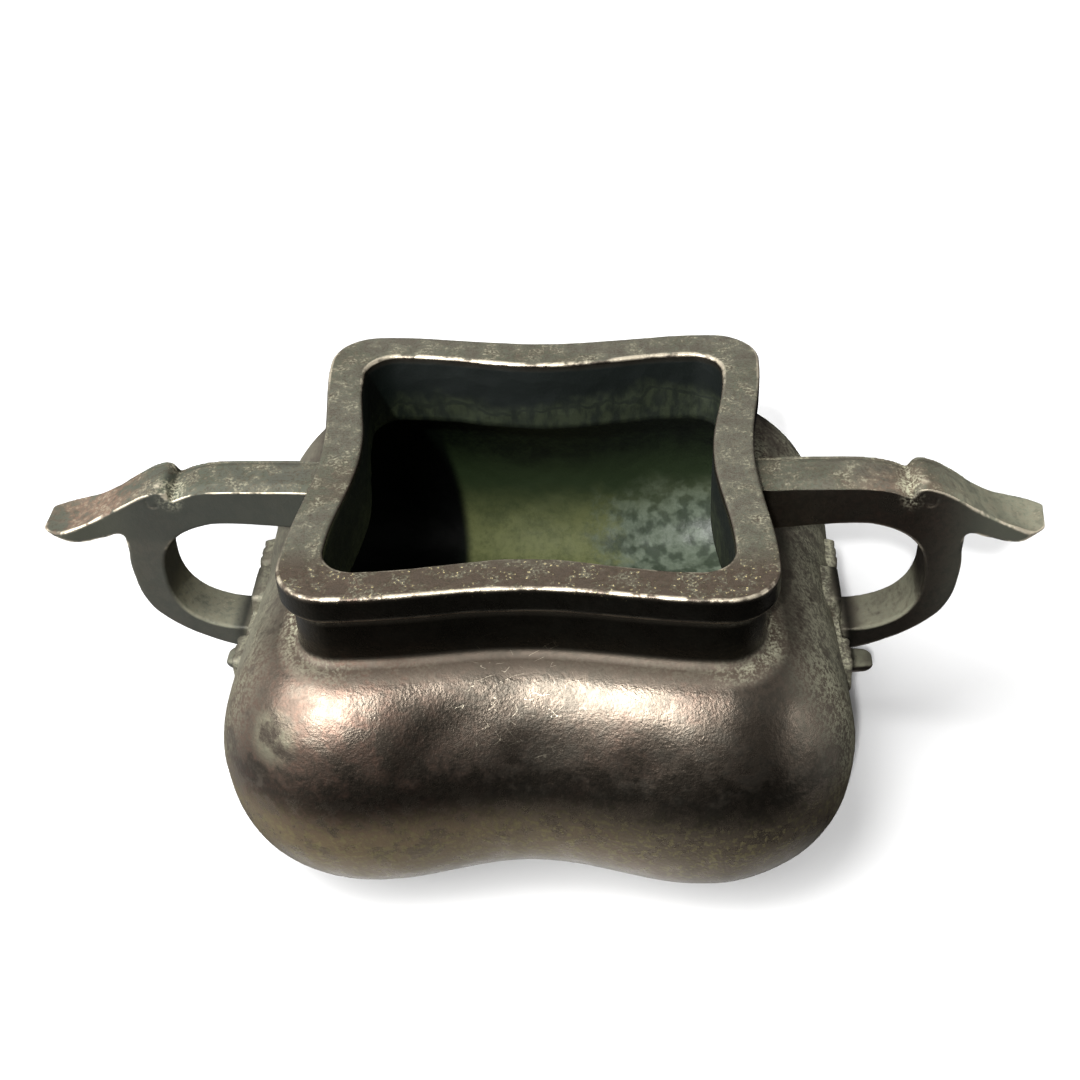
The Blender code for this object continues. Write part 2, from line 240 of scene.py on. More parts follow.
RIM = Section(
    HEIGHT, RIM_HALF_WIDTH, RIM_HALF_DEPTH, RIM_SIDE_HOLLOW, RIM_FRONT_HOLLOW, RIM_CORNER
)
MOUTH = Section(
    HEIGHT,
    RIM_HALF_WIDTH - RIM_BAND,
    RIM_HALF_DEPTH - RIM_BAND,
    MOUTH_SIDE_HOLLOW,
    MOUTH_FRONT_HOLLOW,
    MOUTH_CORNER,
)
SHOULDER = inset(RIM, NECK_INSET - NECK_FLARE, SHOULDER_LEVEL)
NECK = inset(RIM, NECK_INSET, SHOULDER_LEVEL)
WIDEST = Section(
    BODY_LEVEL, BODY_HALF_WIDTH, BODY_HALF_DEPTH, BODY_SIDE_HOLLOW, BODY_FRONT_HOLLOW, BODY_CORNER
)
BOTTOM = Section(
    FOOT_HEIGHT,
    BOTTOM_HALF_WIDTH,
    BOTTOM_HALF_DEPTH,
    BOTTOM_SIDE_HOLLOW,
    BOTTOM_FRONT_HOLLOW,
    BOTTOM_CORNER,
)


def blend_sections(a, b, share):
    return Section(*[mix(low, high, share) for low, high in zip(a, b)])


def bulge(end, widest, fullness, steps):
    """Sections from an end out to the widest one, along a rounded profile."""
    sections = []
    for step in range(steps + 1):
        angle = math.pi / 2 * step / steps
        out = math.sin(angle) ** (2 / fullness)
        rise = max(0.0, math.cos(angle)) ** (2 / fullness)
        section = blend_sections(end, widest, out)
        sections.append(section._replace(z=mix(widest.z, end.z, rise)))
    return sections


def body_section_at(z):
    """The body's outside section at a height."""
    end = SHOULDER if z > BODY_LEVEL else BOTTOM
    fullness = SHOULDER_FULLNESS if z > BODY_LEVEL else BELLY_FULLNESS
    rise = min(max((z - BODY_LEVEL) / (end.z - BODY_LEVEL), 0.0), 1.0)
    out = (1.0 - rise**fullness) ** (1 / fullness)
    return blend_sections(end, WIDEST, out)._replace(z=z)


def side_reach(y, z):
    """How far out in X the body's side is at a point of it."""
    section = body_section_at(z)
    side = section.half_depth - section.corner
    if abs(y) < side:
        dip = section.side_hollow * (1 + math.cos(math.pi * y / side)) / 2
        return section.half_width - dip
    past = min(abs(y) - side, section.corner)
    return section.half_width - section.corner + math.sqrt(section.corner**2 - past**2)


def outline(section):
    """The lobed square as an array of XY points, counter-clockwise from +X."""
    side = section.half_depth - section.corner
    front = section.half_width - section.corner
    y = side * np.arange(SIDE_STEPS) / SIDE_STEPS
    x = section.half_width - section.side_hollow * (1 + np.cos(math.pi * y / side)) / 2
    angle = math.pi / 2 * np.arange(CORNER_STEPS) / CORNER_STEPS
    corner_x = front + section.corner * np.cos(angle)
    corner_y = side + section.corner * np.sin(angle)
    front_x = front * (1 - np.arange(SIDE_STEPS + 1) / SIDE_STEPS)
    front_dip = section.front_hollow * (1 + np.cos(math.pi * front_x / front)) / 2
    front_y = section.half_depth - front_dip
    quarter = np.column_stack(
        (np.concatenate((x, corner_x, front_x)), np.concatenate((y, corner_y, front_y)))
    )
    back = quarter[::-1]
    return np.concatenate((
        quarter[:-1],
        back[:-1] * (-1, 1),
        quarter[:-1] * (-1, -1),
        back[:-1] * (1, -1),
    ))


def rounded_edge(section, radius, first, last, edge):
    """Rings round a quarter of a small edge; angles in degrees, 0 level and 90 up."""
    rings = []
    for step in range(EDGE_STEPS + 1):
        angle = math.radians(mix(first, last, step / EDGE_STEPS))
        away = radius * (1 - math.cos(angle))
        rise = radius * math.sin(angle)
        wear = edge * math.sin(math.pi * step / EDGE_STEPS)
        rings.append(Ring(inset(section, away, section.z + rise), wear))
    return rings


def foot_rings():
    plan = BOTTOM._replace(side_hollow=FOOT_HOLLOW, front_hollow=FOOT_HOLLOW)
    outer = inset(plan, FOOT_INSET, FOOT_EDGE)
    inner = inset(plan, FOOT_INSET + FOOT_WIDTH, FOOT_EDGE)
    recess = [inset(inner, inner.half_width * share, FOOT_RECESS) for share in (0.9, 0.6, 0.3)]
    return [Ring(section) for section in recess] + [
        Ring(inner._replace(z=FOOT_RECESS), 0, 1),
        Ring(inner, 0.5),
        Ring(inset(inner, -FOOT_EDGE, 0.0), 0.5),
        Ring(inset(outer, FOOT_EDGE, 0.0), 0.5),
        Ring(outer, 0.8),
        Ring(outer._replace(z=FOOT_HEIGHT - FOOT_EDGE), 0, 0.5),
        Ring(inset(outer, -FOOT_EDGE, FOOT_HEIGHT), 0, 1),
    ]


def body_rings():
    lower = bulge(BOTTOM, WIDEST, BELLY_FULLNESS, BODY_STEPS)
    upper = bulge(SHOULDER, WIDEST, SHOULDER_FULLNESS, BODY_STEPS)[-2::-1]
    rings = [Ring(section) for section in lower]
    for section in upper:
        crevice = smooth(0.0016, 0.0, SHOULDER_LEVEL - section.z)
        rings.append(Ring(section, 0, crevice))
    return rings


def neck_rings():
    rings = []
    for step in range(1, FLARE_STEPS + 1):
        share = step / FLARE_STEPS
        flare = NECK_FLARE * (1 - share) ** 2
        z = SHOULDER_LEVEL + NECK_FLARE_HEIGHT * share
        rings.append(Ring(inset(NECK, -flare, z), 0, 1 - share))
    for step in range(1, NECK_STEPS + 1):
        share = step / NECK_STEPS
        z = mix(SHOULDER_LEVEL + NECK_FLARE_HEIGHT, RIM_UNDERSIDE, share)
        crevice = smooth(0.8, 1.0, share)
        rings.append(Ring(NECK._replace(z=z), 0, crevice))
    return rings


def rim_rings():
    lower = RIM._replace(z=RIM_UNDERSIDE + RIM_LOWER_EDGE)
    upper = RIM._replace(z=HEIGHT - RIM_TOP_EDGE)
    lip = MOUTH._replace(z=HEIGHT - MOUTH_EDGE)
    rings = [Ring(inset(RIM, (NECK_INSET + RIM_LOWER_EDGE) / 2, RIM_UNDERSIDE), 0, 0.5)]
    rings += rounded_edge(lower, RIM_LOWER_EDGE, -90, 0, 0.15)
    for step in range(1, RIM_FACE_STEPS):
        z = mix(lower.z, upper.z, step / RIM_FACE_STEPS)
        rings.append(Ring(lower._replace(z=z)))
    rings += rounded_edge(upper, RIM_TOP_EDGE, 0, 90, 1.0)
    outer = inset(RIM, RIM_TOP_EDGE, HEIGHT)
    inner = inset(MOUTH, -MOUTH_EDGE, HEIGHT)
    for step in range(1, RIM_TOP_STEPS):
        rings.append(Ring(blend_sections(outer, inner, step / RIM_TOP_STEPS)))
    for ring in rounded_edge(lip, MOUTH_EDGE, 90, 0, 1.0):
        away = lip.half_width - ring.section.half_width
        rings.append(ring._replace(section=inset(lip, -away, ring.section.z)))
    return rings


def cavity_rings():
    top = HEIGHT - MOUTH_EDGE
    throat = MOUTH._replace(z=SHOULDER_LEVEL + MOUTH_LIP)
    widest = inset(WIDEST, WALL, BODY_LEVEL)
    floor = inset(BOTTOM, WALL, FOOT_HEIGHT + WALL)
    levels = [mix(top, throat.z, step / MOUTH_STEPS) for step in range(1, MOUTH_STEPS + 1)]
    sections = [MOUTH._replace(z=z) for z in levels]
    sections += bulge(throat, widest, SHOULDER_FULLNESS, BODY_STEPS // 2)[1:]
    sections += bulge(floor, widest, BELLY_FULLNESS, BODY_STEPS)[-2::-1]
    sections += [shrunk(floor, 1 - share) for share in (0.1, 0.2, 0.32, 0.45, 0.58, 0.7, 0.82, 0.92)]
    return [Ring(section, inside=1) for section in sections]


def shrunk(section, share):
    """The section about its own middle at a share of its size."""
    return Section(section.z, *[value * share for value in section[1:]])


# The vessel's mesh

def mesh_of(shape, name):
    mesh = bpy.data.meshes.new(name)
    shape.to_mesh(mesh)
    shape.free()
    return mesh


def new_object(name, data):
    obj = bpy.data.objects.new(name, data)
    bpy.context.scene.collection.objects.link(obj)
    return obj


def loft(name, rings):
    shape = bmesh.new()
    marks = [shape.verts.layers.float.new(mark) for mark in ("edge", "crevice", "inside")]
    rows = []
    for ring in rings:
        row = []
        for x, y in outline(ring.section):
            vert = shape.verts.new((x, y, ring.section.z))
            for layer, value in zip(marks, ring[1:]):
                vert[layer] = value
            row.append(vert)
        rows.append(row)
    count = len(rows[0])
    for lower, upper in zip(rows, rows[1:]):
        for i in range(count):
            after = (i + 1) % count
            shape.faces.new((lower[i], lower[after], upper[after], upper[i]))
    shape.faces.new(rows[0])
    shape.faces.new(rows[-1])
    bmesh.ops.recalc_face_normals(shape, faces=shape.faces)
    return mesh_of(shape, name)


def vectors_of(mesh, name):
    """The vertices' places, named co, or their normals, as rows of X, Y and Z."""
    vectors = np.empty(len(mesh.vertices) * 3)
    mesh.vertices.foreach_get(name, vectors)
    return vectors.reshape(-1, 3)


def set_points(mesh, points):
    mesh.vertices.foreach_set("co", points.ravel())
    mesh.update()


def lumps(points, size, seed):
    """Smooth noise from about -1 to 1, with lumps of a size."""
    shift = Vector((seed, seed * 2.0, seed * 3.0))
    return np.array([noise.noise(Vector(point) / size + shift) for point in points])


def hand_finished(mesh, inside):
    """Low dents left by filing and hammering, deeper inside than outside."""
    points = vectors_of(mesh, "co")
    normals = vectors_of(mesh, "normal")
    broad = lumps(points, BROAD_LUMPS, 1.0)
    fine = lumps(points, FINE_LUMPS, 5.0)
    hammered = lumps(points, HAMMER_LUMPS, 9.0)
    depth = BROAD_DEPTH * broad + FINE_DEPTH * fine
    depth += inside * (INSIDE_FINE_DEPTH * fine + HAMMER_DEPTH * hammered)
    depth = np.abs(depth)
    for centre, radius, fall in DENTS:
        away = np.linalg.norm(points - np.array(centre), axis=1)
        depth += (1 - inside) * fall * smooth(radius, 0.0, away)
    set_points(mesh, points - normals * depth[:, None])


def mark_of(mesh, name):
    values = np.empty(len(mesh.vertices))
    mesh.attributes[name].data.foreach_get("value", values)
    return values


def vessel():
    rings = foot_rings() + body_rings() + neck_rings() + rim_rings() + cavity_rings()
    mesh = loft("vessel", rings)
    hand_finished(mesh, mark_of(mesh, "inside"))
    return finished("vessel", mesh)


def finished(name, mesh):
    """A piece of the censer from its mesh, with its patina and its place in the frame."""
    mesh.shade_smooth()
    mesh.materials.append(PATINA)
    obj = new_object(name, mesh)
    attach(obj, "root")
    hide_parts("censer")
    return obj


# Handles

def placed(point):
    """A point of the handle's outline in metres, from shares of its reach."""
    return (RIM_HALF_WIDTH + HANDLE_REACH * point[0], RIM_UNDERSIDE + HANDLE_REACH * point[1])


# Places along the handle in X, and the middle of its arm in Z
CREST_START = placed(CREST[0])[0]
CREST_END = placed(CREST[-1])[0]
WAIST = placed(TIP_TOP[0])[0]
DISH_MIDDLE = placed(TIP_TOP[1])[0]
BROADEST = placed(TIP_TOP[-1])[0]
END = placed(TIP_END[0])[0]
ARM_MIDDLE = placed((0.0, -UPPER_ROOT_DROP / 2))[1]


def loop_edge():
    points = []
    for step in range(LOOP_STEPS + 1):
        angle = math.pi * (step / LOOP_STEPS - 0.5)
        side = math.copysign(abs(math.sin(angle)) ** (2 / LOOP_FULLNESS), angle)
        out = abs(math.cos(angle)) ** (2 / LOOP_FULLNESS)
        x = LOOP_CENTRE[0] + LOOP_HALF_WIDTH * out
        z = LOOP_CENTRE[1] + LOOP_HALF_HEIGHT * side
        points.append((x, z))
    return points


def raised_by(points, rise):
    return [(x, z + rise) for x, z in points]


def handle_outline(side):
    """A handle's outline round from the neck, each knot with whether it is sharp."""
    rise = RIGHT_ARM_RISE if side > 0 else 0.0
    neck_face = RIM_HALF_WIDTH - NECK_INSET - RIM_SIDE_HOLLOW
    neck_bite = (RIM_BAND - NECK_INSET) / 2
    body_face = BODY_HALF_WIDTH - BODY_SIDE_HOLLOW
    upper_root = (neck_face - neck_bite - RIM_HALF_WIDTH) / HANDLE_REACH
    lower_root = (body_face - WALL / 2 - RIM_HALF_WIDTH) / HANDLE_REACH
    loop = [point for point in loop_edge() if point[0] > lower_root + LOOP_START]
    parts = (
        ([(upper_root, UPPER_ROOT_RISE + rise)], True),
        (raised_by(ARM_TOP, rise), False),
        (raised_by([GROOVE], rise), True),
        (raised_by(CREST, rise) + TIP_TOP, False),
        (TIP_END, True),
        (TIP_UNDERSIDE + [ARMPIT] + LOWER_ARM, False),
        ([(lower_root, -LOWER_ROOT_DROP), (lower_root, LOOP_BOTTOM)], True),
        (loop, False),
        ([(upper_root, -UPPER_ROOT_DROP)], True),
    )
    return [(placed(point), sharp) for points, sharp in parts for point in points]


def evaluated_mesh(obj):
    """The mesh that an object's modifiers make; the object itself is dropped."""
    graph = bpy.context.evaluated_depsgraph_get()
    mesh = bpy.data.meshes.new_from_object(obj.evaluated_get(graph))
    bpy.data.objects.remove(obj, do_unlink=True)
    return mesh


def flat_bar(knots):
    """A flat solid from the knots of its outline, upright in the XZ plane."""
    curve = bpy.data.curves.new("bar", "CURVE")
    curve.dimensions = "2D"
    curve.fill_mode = "BOTH"
    curve.extrude = HANDLE_THICKNESS / 2
    curve.resolution_u = 8
    spline = curve.splines.new("BEZIER")
    spline.bezier_points.add(len(knots) - 1)
    spline.use_cyclic_u = True
    for bezier, (point, sharp) in zip(spline.bezier_points, knots):
        bezier.co = (point[0], point[1], 0.0)
        bezier.handle_left_type = "VECTOR" if sharp else "AUTO"
        bezier.handle_right_type = "VECTOR" if sharp else "AUTO"
    mesh = evaluated_mesh(new_object("bar", curve))
    mesh.transform(Matrix.Rotation(math.pi / 2, 4, "X"))
    shape = bmesh.new()
    shape.from_mesh(mesh)
    bmesh.ops.remove_doubles(shape, verts=shape.verts, dist=1e-6)
    bmesh.ops.dissolve_limit(shape, angle_limit=0.001, verts=shape.verts, edges=shape.edges)
    bmesh.ops.recalc_face_normals(shape, faces=shape.faces)
    return shape


def edge_softness(x, z):
    """The width of an edge's bevel: wide along the arm's top, narrow elsewhere."""
    if x > CREST_END:
        return mix(EDGE_BEVEL, TIP_BEVEL, smooth(CREST_END, BROADEST, x))
    if z < ARM_MIDDLE:
        return EDGE_BEVEL
    return mix(ARM_BEVEL, EDGE_BEVEL, smooth(CREST_START, CREST_END, x))


def handle_bar(side):
    """The handle's bar, with the edges round its two flat sides softened."""
    shape = flat_bar(handle_outline(side))
    weights = shape.edges.layers.float.new("bevel_weight_edge")
    for edge in shape.edges:
        across = [abs(face.normal.y) for face in edge.link_faces]
        middle = (edge.verts[0].co + edge.verts[1].co) / 2
        if max(across) > 0.9 and min(across) < 0.1:
            edge[weights] = edge_softness(middle.x, middle.z) / ARM_BEVEL
    obj = new_object("bar", mesh_of(shape, "bar"))
    bevel = obj.modifiers.new("soft_edges", "BEVEL")
    bevel.limit_method = "WEIGHT"
    bevel.width = ARM_BEVEL
    bevel.segments = 3
    bevel.use_clamp_overlap = False
    obj.modifiers.new("flat_sides", "TRIANGULATE")
    return evaluated_mesh(obj)


def half_thickness(x):
    """Half the handle's thickness: a waist behind the crest, then a broader, rounded tip."""
    thickness = mix(HANDLE_THICKNESS, WAIST_THICKNESS, smooth(CREST_START, WAIST, x))
    thickness = mix(thickness, TIP_THICKNESS, smooth(WAIST, BROADEST, x))
    past = np.clip((x - END + TIP_ROUND) / TIP_ROUND, 0.0, 1.0)
    return thickness / 2 * mix(1.0, TIP_END_SHARE, past**2.5)


# Beast mask

def rounded_block(y, z, half_width, half_height, corner):
    """How far inside a rounded rectangle a point is, in metres, below zero outside it."""
    away_y = np.abs(y) - half_width + corner
    away_z = np.abs(z) - half_height + corner
    outside = np.hypot(np.maximum(away_y, 0.0), np.maximum(away_z, 0.0))
    return corner - outside - np.minimum(np.maximum(away_y, away_z), 0.0)


def mask_edge():
    """The mask's closed outline in the YZ plane, from its root, as a dense smooth line."""
    half = [(y * MASK_HALF_WIDTH, z * MASK_HALF_WIDTH) for y, z in MASK_OUTLINE]
    knots = [(0.0, MASK_TOP * MASK_HALF_WIDTH)] + half
    knots += [(0.0, -MASK_CHIN * MASK_HALF_WIDTH)]
    knots += [(-y, z) for y, z in half[::-1]]
    count = len(knots)
    points = []
    for i in range(count):
        before, start, end, after = [np.array(knots[(i + k) % count]) for k in (-1, 0, 1, 2)]
        for share in np.arange(KNOT_STEPS) / KNOT_STEPS:
            curved = (before * 2 - start * 5 + end * 4 - after) * share**2
            curved += (start * 3 - before - end * 3 + after) * share**3
            points.append(start + (end - before) * share / 2 + curved / 2)
    return np.array(points)


def inside_line(y, z, line):
    """How far inside a closed line each point is, in metres, below zero outside it."""
    nearest = np.full(y.shape, 1.0)
    crossings = np.zeros(y.shape, dtype=int)
    for (y0, z0), (y1, z1) in zip(line, np.roll(line, -1, axis=0)):
        along = ((y - y0) * (y1 - y0) + (z - z0) * (z1 - z0)) / ((y1 - y0) ** 2 + (z1 - z0) ** 2)
        along = np.clip(along, 0.0, 1.0)
        away = np.hypot(y - mix(y0, y1, along), z - mix(z0, z1, along))
        nearest = np.minimum(nearest, away)
        if z0 != z1:
            spans = (z0 > z) != (z1 > z)
            crossings += spans & (y < y0 + (z - z0) * (y1 - y0) / (z1 - z0))
    return np.where(crossings % 2 == 1, nearest, -nearest)


def raised(depth, base, reach):
    """From the base up to a reach, over a narrow rounded step along a form's edge."""
    return mix(base, reach, smooth(-STEP / 3, STEP, depth))


def mask_reach(y, z, surface, brow_reach):
    """How far out in X the mask is, under the body's surface where it has no form."""
    sunk = surface - SINK
    plate = inside_line(y, z, mask_edge())
    rim = MASK_RIM_RISE * smooth(MASK_RIM, MASK_RIM - STEP, plate)
    reach = raised(plate, sunk, surface + MASK_RELIEF + rim)
    brow = rounded_block(y, z - BROW_RISE, BROW_HALF_WIDTH, BROW_HALF_HEIGHT, BLOCK_CORNER)
    reach = np.maximum(reach, raised(brow, sunk, brow_reach))
    ear_y = np.abs(y) - (MASK_HALF_WIDTH - EAR_RADIUS)
    ear = rounded_block(ear_y, z - EAR_RISE, EAR_RADIUS, EAR_RADIUS, BLOCK_CORNER)
    groove = smooth(STEP, 0.0, np.abs(np.abs(ear_y) - EAR_RADIUS / 3))
    reach = np.maximum(reach, raised(ear, sunk, EAR_REACH - EAR_GROOVE * groove))
    tongue = rounded_block(
        y, z + TONGUE_DROP, TONGUE_HALF_WIDTH, TONGUE_HALF_HEIGHT, TONGUE_HALF_HEIGHT * 0.9
    )
    rounding = TONGUE_ROUND * (1 - np.clip(tongue / TONGUE_HALF_HEIGHT, 0.0, 1.0)) ** 2
    return np.maximum(reach, raised(tongue, sunk, TONGUE_REACH - rounding))


def mask_solid(brow_reach):
    """The mask as a closed solid over the body's right side, reaching into the wall."""
    side = MASK_HALF_WIDTH + STEP
    low = -MASK_CHIN * MASK_HALF_WIDTH - STEP
    high = BROW_RISE + BROW_HALF_HEIGHT + STEP
    y, z = np.meshgrid(np.linspace(-side, side, MASK_COLUMNS), np.linspace(low, high, MASK_ROWS))
    surface = np.vectorize(side_reach)(y, z + ROOT_LEVEL)
    front = np.dstack((mask_reach(y, z, surface, brow_reach), y, z + ROOT_LEVEL))
    back = np.dstack((surface - WALL / 2 - SINK, y, z + ROOT_LEVEL))
    shape = bmesh.new()
    sheets = []
    for sheet in (front, back):
        verts = [[shape.verts.new(point) for point in row] for row in sheet]
        sheets.append(verts)
        for lower, upper in zip(verts, verts[1:]):
            for i in range(len(lower) - 1):
                shape.faces.new((lower[i], lower[i + 1], upper[i + 1], upper[i]))
    rims = [border(sheet) for sheet in sheets]
    for i in range(len(rims[0])):
        shape.faces.new((rims[0][i - 1], rims[0][i], rims[1][i], rims[1][i - 1]))
    bmesh.ops.recalc_face_normals(shape, faces=shape.faces)
    return mesh_of(shape, "mask")


def border(rows):
    """The outer vertices of a grid, in order round it."""
    right = [row[-1] for row in rows[1:-1]]
    left = [row[0] for row in rows[1:-1]]
    return rows[0] + right + rows[-1][::-1] + left[::-1]


def joined(meshes):
    shape = bmesh.new()
    for mesh in meshes:
        shape.from_mesh(mesh)
    return mesh_of(shape, "joined")


def remeshed(mesh):
    """One closed, evenly meshed skin over everything in a mesh."""
    obj = new_object("joined", mesh)
    even = obj.modifiers.new("even", "REMESH")
    even.mode = "VOXEL"
    even.voxel_size = VOXEL
    return evaluated_mesh(obj)


def without_hidden(mesh):
    """Drops what lies inside the wall of the body or of the neck."""
    shape = bmesh.new()
    shape.from_mesh(mesh)
    buried = [vert for vert in shape.verts if is_buried(*vert.co)]
    bmesh.ops.delete(shape, geom=buried, context="VERTS")
    shape.to_mesh(mesh)
    shape.free()


def is_buried(x, y, z):
    if z > SHOULDER_LEVEL:
        return x < RIM_HALF_WIDTH - NECK_INSET - RIM_SIDE_HOLLOW - SINK / 2
    return x < side_reach(y, z) - SINK / 2


def averaged(mesh, values, rounds):
    """Values at the vertices, averaged with their neighbours' a number of times."""
    pairs = np.empty(len(mesh.edges) * 2, dtype=np.int64)
    mesh.edges.foreach_get("vertices", pairs)
    start, end = pairs.reshape(-1, 2).T
    count = len(mesh.vertices)
    degree = np.bincount(start, minlength=count) + np.bincount(end, minlength=count)
    for _ in range(rounds):
        total = np.zeros_like(values)
        for column in range(values.shape[1]):
            total[:, column] = np.bincount(start, values[end, column], minlength=count)
            total[:, column] += np.bincount(end, values[start, column], minlength=count)
        values = (values + total / degree[:, None]) / 2
    return values


def add_mark(mesh, name, values):
    layer = mesh.attributes.new(name, "FLOAT", "POINT")
    layer.data.foreach_set("value", values.astype(np.float32))


def mark_shape(mesh):
    """Marks the edges and the crevices of a finely meshed piece from its curvature."""
    points = vectors_of(mesh, "co")
    level = averaged(mesh, points, 14)
    height = ((points - level) * vectors_of(mesh, "normal")).sum(axis=1)
    height = averaged(mesh, height[:, None], 2)[:, 0]
    add_mark(mesh, "edge", smooth(0.00004, 0.00014, height))
    add_mark(mesh, "crevice", smooth(0.00004, 0.00016, -height))
    add_mark(mesh, "inside", np.zeros(len(points)))


def dish(points):
    """The shallow dish along the top of the tip, running out towards its thin end."""
    along = smooth(WAIST, DISH_MIDDLE, points[:, 0]) * smooth(END, DISH_MIDDLE, points[:, 0])
    across = 1 - np.clip(np.abs(points[:, 1]) / (TIP_THICKNESS / 2 - 0.0008), 0.0, 1.0) ** 4
    return DISH_DEPTH * along * across


def thinned(points, side):
    """The handle's waist and rounded tip in plan, with the right tip's end a little askew."""
    points[:, 1] *= 2 * half_thickness(points[:, 0]) / HANDLE_THICKNESS
    if side > 0:
        along = smooth(DISH_MIDDLE, END, points[:, 0])
        points[:, 0] -= RIGHT_TIP_SKEW * along * (0.5 - points[:, 1] / TIP_THICKNESS)
    points[:, 0] = np.minimum(points[:, 0], END)
    return points


def curl(points):
    """The hooked line cut into both flat sides under the crest."""
    x, z = placed(CURL_CENTRE)
    away = np.hypot(points[:, 0] - x, points[:, 2] - z)
    turn = np.arctan2(points[:, 2] - z, points[:, 0] - x)
    line = smooth(0.0004, 0.0001, np.abs(away - CURL_RADIUS - CURL_GROWTH * turn))
    return CURL_DEPTH * line * smooth(-2.9, -2.2, turn) * smooth(0.9, 0.3, turn)


def crown(points):
    """The fall of the arm's top towards its front and back edges."""
    fall = smooth(HANDLE_THICKNESS / 2 - CROWN_WIDTH, HANDLE_THICKNESS / 2, np.abs(points[:, 1]))
    return CROWN * fall * smooth(WAIST, CREST_END, points[:, 0])


def carve(mesh):
    """Cuts the dish, the crown, the curl and low hand-finished dents into a handle."""
    points = vectors_of(mesh, "co")
    normals = vectors_of(mesh, "normal")
    up = smooth(0.5, 0.8, normals[:, 2])
    on_top = points[:, 2] > ARM_MIDDLE
    aside = smooth(0.6, 0.9, np.abs(normals[:, 1]))
    points[:, 2] -= (dish(points) + crown(points) * on_top) * up
    points -= normals * (curl(points) * aside)[:, None]
    points -= normals * (HANDLE_DEPTH * np.abs(lumps(points, HANDLE_LUMPS, 3.0)))[:, None]
    set_points(mesh, points)


def off_body(points):
    """How far each point of a handle stands out from the body or from the neck."""
    body = points[:, 0] - np.vectorize(side_reach)(points[:, 1], points[:, 2])
    neck = points[:, 0] - (RIM_HALF_WIDTH - NECK_INSET)
    return np.where(points[:, 2] > SHOULDER_LEVEL, neck, body)


def handle(name, side):
    """One handle with its mask; side is 1 on the right and -1 on the left."""
    brow_reach = BROW_REACH if side > 0 else LEFT_BROW_REACH
    mesh = remeshed(joined([handle_bar(side), mask_solid(brow_reach)]))
    set_points(mesh, thinned(averaged(mesh, vectors_of(mesh, "co"), 2), side))
    carve(mesh)
    mark_shape(mesh)
    add_mark(mesh, "arm", smooth(0.0010, 0.0030, off_body(vectors_of(mesh, "co"))))
    without_hidden(mesh)
    if side < 0:
        mesh.transform(Matrix.Scale(-1, 4, (1, 0, 0)))
        mesh.flip_normals()
    return finished(name, mesh)


# Materials

